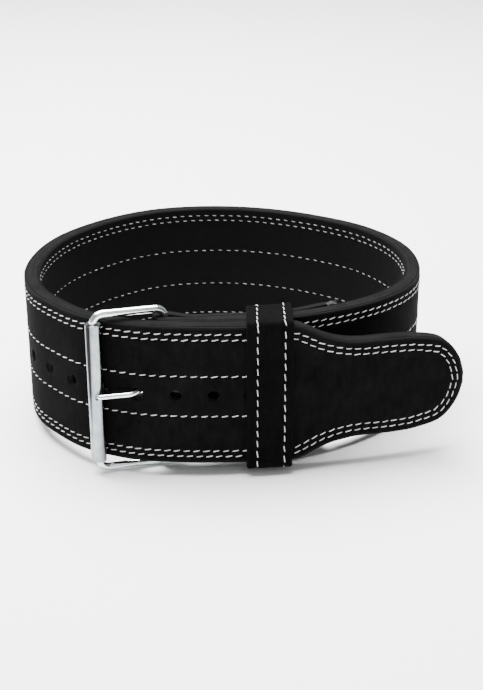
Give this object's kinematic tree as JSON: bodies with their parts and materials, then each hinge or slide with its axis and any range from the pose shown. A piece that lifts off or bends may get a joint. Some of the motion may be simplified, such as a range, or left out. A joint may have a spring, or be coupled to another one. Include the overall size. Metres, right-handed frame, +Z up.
{
  "type": "weightlifting belt",
  "caption": "Thick black suede-faced leather belt closed in a ring by a metal roller buckle, with a keeper loop and a long rounded tip. It braces the waist in heavy lifting.",
  "frame": {"origin": "On the floor, under the middle of the box round the standing belt.", "axes": "+Z is up. The buckle looks toward -Y and the back of the belt toward +Y. +X is to the right of someone who looks at the buckle, the way the tip points."},
  "size_m": [0.3088, 0.2658, 0.1188],
  "materials": {
    "edge_leather": "dark grey cut and burnished edge, satin",
    "face_suede": "black suede with a short nap, matt",
    "lining_suede": "black suede with a short nap, matt",
    "keeper_suede": "black suede over leather, matt",
    "nickel_plate": "bright nickel plate"
  },
  "bodies": {
    "root": {"leather_core": "edge_leather", "suede_facing": "face_suede", "suede_lining": "lining_suede", "keeper_loop": "keeper_suede", "buckle_frame": "nickel_plate", "buckle_roller": "nickel_plate", "buckle_prong": "nickel_plate"}
  },
  "joints": []
}
